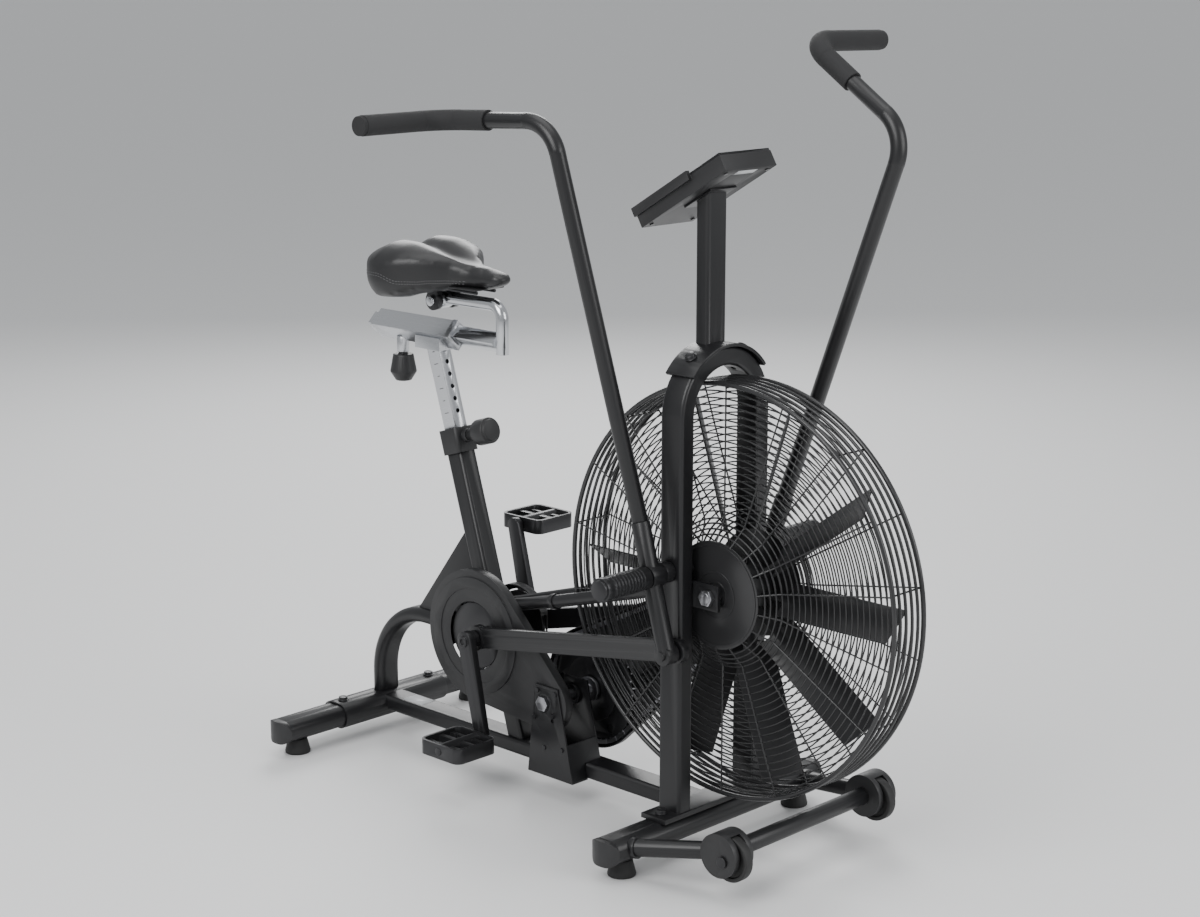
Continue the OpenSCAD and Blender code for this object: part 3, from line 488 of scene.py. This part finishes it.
def build_chain(node, centre_a, teeth_a, centre_b, teeth_b, y):
    points = chain_points(centre_a, pitch_radius(teeth_a), centre_b, pitch_radius(teeth_b), y)
    bm = bmesh.new()
    for i, p in enumerate(points):
        q = points[(i + 1) % len(points)]
        out = Vector((0, 0.0034, 0))
        add_rod(bm, p - out, p + out, 0.0036, 8)
        gap = 0.0022 if i % 2 else 0.0031
        turn = (q - p).to_track_quat("X", "Z").to_matrix().to_4x4()
        for side in (-1, 1):
            place = Matrix.Translation((p + q) / 2 + Vector((0, side * gap, 0))) @ turn
            size = Matrix.Diagonal((PITCH + 0.0052, 0.0009, PLATE_HIGH, 1))
            bmesh.ops.create_cube(bm, size=1, matrix=place @ size)
    piece = add_piece(bm, node + "_links", BODY_OF[node], FINISH["bright_steel"])
    piece.data.set_sharp_from_angle(angle=math.radians(30))
    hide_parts(node)
    print(piece.name, "links:", len(points))
    return piece


build_chain("primary_chain", CRANK_AT, 48, JACK_AT, 16, -0.047)
build_chain("secondary_chain", JACK_AT, 48, FAN_AT, 14, 0.062)

# %% [markdown]
# ## Foam grips
# The grips are thick foam sleeves pushed onto the bars, with closed, rounded ends. Their CAD
# sleeve is already the right shape, so it is copied and its ends are rounded well over.

# %% Grips
for node in ("right_grip", "left_grip"):
    grip = dress(node, 0.003, name=node + "_foam")
    grip.modifiers["rounded edges"].segments = 4
print("grips padded")

# %% [markdown]
# ## Saddle
# The saddle is foam under a stretched cover: two raised lobes at the back, a groove between
# them, and a rounded nose. The CAD block has its outline and height. It is remeshed into an
# even net, the lobes and groove are pushed in, the corners relax, and a short cloth step lets
# the cover swell over the foam. Seams come last, because remeshing would wipe them out.

# %% Saddle block
SADDLE_LOW, SADDLE_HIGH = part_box("saddle_cushion")
VOXEL = 0.005
REAR_X = SADDLE_LOW.x
LOBE_Y = 0.050


def apply_modifiers(piece):
    graph = bpy.context.evaluated_depsgraph_get()
    baked = bpy.data.meshes.new_from_object(piece.evaluated_get(graph))
    piece.modifiers.clear()
    piece.data = baked


def smooth_step(low, high, x):
    t = min(max((x - low) / (high - low), 0), 1)
    return t * t * (3 - 2 * t)


def crown(v):
    """How far a point of the cover sinks below the block's top, by place."""
    back = 1 - smooth_step(REAR_X + 0.13, REAR_X + 0.22, v.x)
    groove = math.exp(-((v.y / 0.016) ** 2)) * (0.010 + 0.012 * back)
    groove *= smooth_step(REAR_X - 0.01, REAR_X + 0.03, v.x)
    groove *= 1 - smooth_step(REAR_X + 0.19, REAR_X + 0.26, v.x)
    wide = 0.112 * back + 0.030 * (1 - back)
    edge = (abs(v.y) - LOBE_Y * back) / (wide - LOBE_Y * back)
    fall = max(edge, 0) ** 2 * (0.026 * back + 0.012 * (1 - back))
    return groove + fall


block = add_piece(node_mesh("saddle_cushion"), "saddle_cover", "saddle", FINISH["leatherette"])
remesh = block.modifiers.new("even net", "REMESH")
remesh.mode, remesh.voxel_size = "VOXEL", VOXEL
apply_modifiers(block)
print("saddle net:", len(block.data.vertices))

# %% Push in the lobes and relax the corners
bm = bmesh.new()
bm.from_mesh(block.data)
middle_z = (SADDLE_LOW.z + SADDLE_HIGH.z) / 2 - 0.012
for v in bm.verts:
    share = smooth_step(middle_z - 0.01, SADDLE_HIGH.z, v.co.z)
    v.co.z -= crown(v.co) * share
    tuck = smooth_step(SADDLE_LOW.z + 0.030, SADDLE_LOW.z, v.co.z)
    v.co.y *= 1 - 0.10 * tuck
    v.co.x += (-0.405 - v.co.x) * 0.05 * tuck
for _ in range(14):
    bmesh.ops.smooth_vert(bm, verts=bm.verts, factor=0.5, use_axis_x=True, use_axis_y=True,
                          use_axis_z=True)
bm.to_mesh(block.data)
bm.free()
print("saddle shaped")

# %% Swell the cover
SWELL_CAP = 0.006


def swell(piece, frames=16, pressure=3.0):
    """A short cloth step under pressure, with each point's travel capped."""
    rest = [v.co.copy() for v in piece.data.vertices]
    cloth = piece.modifiers.new("cover", "CLOTH")
    cloth.settings.use_pressure = True
    cloth.settings.uniform_pressure_force = pressure
    cloth.settings.effector_weights.gravity = 0
    cloth.settings.quality = 5
    cloth.settings.mass = 0.3
    cloth.settings.tension_stiffness = 40
    for f in range(1, frames + 1):
        bpy.context.scene.frame_set(f)
    apply_modifiers(piece)
    for v, was in zip(piece.data.vertices, rest):
        moved = v.co - was
        if moved.length > SWELL_CAP:
            v.co = was + moved.normalized() * SWELL_CAP
    bpy.context.scene.frame_set(1)


swell(block)
detail = block.modifiers.new("soft curve", "SUBSURF")
detail.levels = detail.render_levels = 1
block.data.shade_smooth()
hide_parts("saddle_cushion")
print("saddle top at", round(max(v.co.z for v in block.data.vertices), 4))

# %% [markdown]
# A seam joins the top panel to the side panel: a fine double row of grey stitches. Rays shot
# inwards at the seam's height find the cover, and each stitch is a short rounded rod laid on it.

# %% Saddle stitching
SEAM_STEPS = 240


def seam_height(x):
    """The seam dips at the waist and climbs over the rear lobes and towards the nose."""
    rear = 1 - smooth_step(REAR_X, REAR_X + 0.10, x)
    nose = smooth_step(REAR_X + 0.20, REAR_X + 0.27, x)
    return SADDLE_LOW.z + 0.028 + 0.012 * rear + 0.002 * nose


def seam_points(tree, lift):
    """Where rays shot inwards at the seam's height meet the cover."""
    points = []
    for i in range(SEAM_STEPS + 1):
        angle = math.radians(200) * (i / SEAM_STEPS - 0.5) * 1.66 + math.pi
        centre = Vector((-0.420, 0, 0))
        out = Vector((math.cos(angle), math.sin(angle), 0))
        start = centre + out * 0.3
        start.z = seam_height(max(min(start.x, SADDLE_HIGH.x), REAR_X)) + lift
        hit, normal, _, _ = tree.ray_cast(start, -out)
        if hit is not None:
            points.append((hit, normal))
    return points


bpy.context.view_layer.update()
graph = bpy.context.evaluated_depsgraph_get()
shaped = block.evaluated_get(graph)
cover = bmesh.new()
cover.from_mesh(shaped.to_mesh())
tree = BVHTree.FromBMesh(cover)
bm = bmesh.new()
for lift in (0.0, 0.0045):
    row = seam_points(tree, lift)
    for (a, na), (b, nb) in zip(row[::2], row[1::2]):
        if (b - a).length < 0.012:
            add_rod(bm, a + na * 0.0002, b + nb * 0.0002, 0.00045, 5)
cover.free()
stitches = add_piece(bm, "saddle_stitches", "saddle", THREAD)
print("stitch faces:", len(stitches.data.polygons))

# %% [markdown]
# ## Small details
# Printed height marks on the post, screws in the console, bolts on the bracket and a blank
# rating label finish the machine. They carry no lettering.

# %% Post marks and labels
LEAN = Vector(JOINTS["seat_height"]["axis"])


def add_box(bm, centre, size, turn=Matrix.Identity(4)):
    bmesh.ops.create_cube(bm, size=1, matrix=Matrix.Translation(centre) @ turn
                          @ Matrix.Diagonal((*size, 1)))


tilt = Matrix.Rotation(math.radians(-17.1), 4, "Y")
bm = bmesh.new()
for i in range(7):
    spot = CRANK_AT + LEAN * (0.390 + 0.022 * i)
    long_mark = 0.010 if i % 2 == 0 else 0.006
    for side in (-1, 1):
        add_box(bm, spot + Vector((0.002, side * 0.01502, 0)), (long_mark, 0.0002, 0.0012), tilt)
marks = add_piece(bm, "post_height_marks", "seat_post", FINISH["rubber"])

bm = bmesh.new()
add_box(bm, Vector((-0.493, 0, 0.06815)), (0.052, 0.034, 0.0004))
label = add_piece(bm, "base_label", "frame", LABEL)
print("marks and label made")

# %% Console details
CONSOLE_AT = Vector((0.199, 0, 1.0605))
CONSOLE_TURN = Matrix.Translation(CONSOLE_AT) @ Matrix.Rotation(math.radians(-30.4), 4, "Y")


def on_console(x, y, z):
    return CONSOLE_TURN @ Vector((x, y, z))


bm = bmesh.new()
for x in (-0.088, 0.088):
    for y in (-0.048, 0.048):
        add_rod(bm, on_console(x, y, -0.0148), on_console(x, y, -0.0168), 0.0035, 12)
screws = add_piece(bm, "console_screws", "frame", FINISH["dark_steel"])
screws.data.set_sharp_from_angle(angle=EDGE_ANGLE)
bm = bmesh.new()
place = CONSOLE_TURN @ Matrix.Translation((0.086, 0.0, -0.01515))
bmesh.ops.create_cube(bm, size=1, matrix=place @ Matrix.Diagonal((0.012, 0.044, 0.0003, 1)))
add_piece(bm, "console_label", "frame", LABEL)

# %% Bracket bolts
BRACKET_FACE = -0.0622
bm = bmesh.new()
for x, z in ((-0.116, 0.190), (-0.074, 0.190), (-0.080, 0.150), (-0.124, 0.140), (-0.100, 0.090),
             (-0.058, 0.095)):
    place = Matrix.Translation((x, BRACKET_FACE, z)) @ ALONG_Y
    bmesh.ops.create_cone(bm, cap_ends=True, segments=20, radius1=0.0052, radius2=0.0040,
                          depth=0.0044, matrix=place)
bolts = add_piece(bm, "bracket_bolts", "frame", FINISH["dark_steel"])
bolts.data.set_sharp_from_angle(angle=EDGE_ANGLE)
print("details done")

# %% [markdown]
# ## Stage
# A pale floor that reaches past the edges of the view, a large soft key light from the camera's
# left, a fill from the right, a light from behind and a top light. Black parts are read by
# their reflections, so the lights are wide.

# %% Stage and lights
floor_mesh = bpy.data.meshes.new("floor")
bm = bmesh.new()
bmesh.ops.create_grid(bm, x_segments=1, y_segments=1, size=120)
bm.to_mesh(floor_mesh)
bm.free()
floor = bpy.data.objects.new("floor", floor_mesh)
bpy.context.scene.collection.objects.link(floor)
pale = bpy.data.materials.new("pale floor")
pale.use_nodes = True
pale_shader = pale.node_tree.nodes["Principled BSDF"]
pale_shader.inputs["Base Color"].default_value = (0.80, 0.80, 0.80, 1)
pale_shader.inputs["Roughness"].default_value = 0.6
floor_mesh.materials.append(pale)


def add_light(name, place, power, size):
    light = bpy.data.objects.new(name, bpy.data.lights.new(name, "AREA"))
    light.data.energy = power
    light.data.size = size
    light.location = place
    aim = Vector((0, 0, 0.6)) - Vector(place)
    light.rotation_mode = "QUATERNION"
    light.rotation_quaternion = aim.to_track_quat("-Z", "Y")
    bpy.context.scene.collection.objects.link(light)


add_light("key", (0.4, -3.4, 3.0), 110, 2.4)
add_light("fill", (3.6, 0.8, 2.0), 70, 2.4)
add_light("back", (-2.8, 2.6, 2.6), 80, 2.0)
add_light("top", (0.0, 0.0, 4.2), 55, 3.0)
world = bpy.data.worlds.new("studio")
bpy.context.scene.world = world
world.use_nodes = True
sky = world.node_tree.nodes["Background"]
sky.inputs["Color"].default_value = (0.86, 0.88, 0.90, 1)
sky.inputs["Strength"].default_value = 0.62
print("stage set")
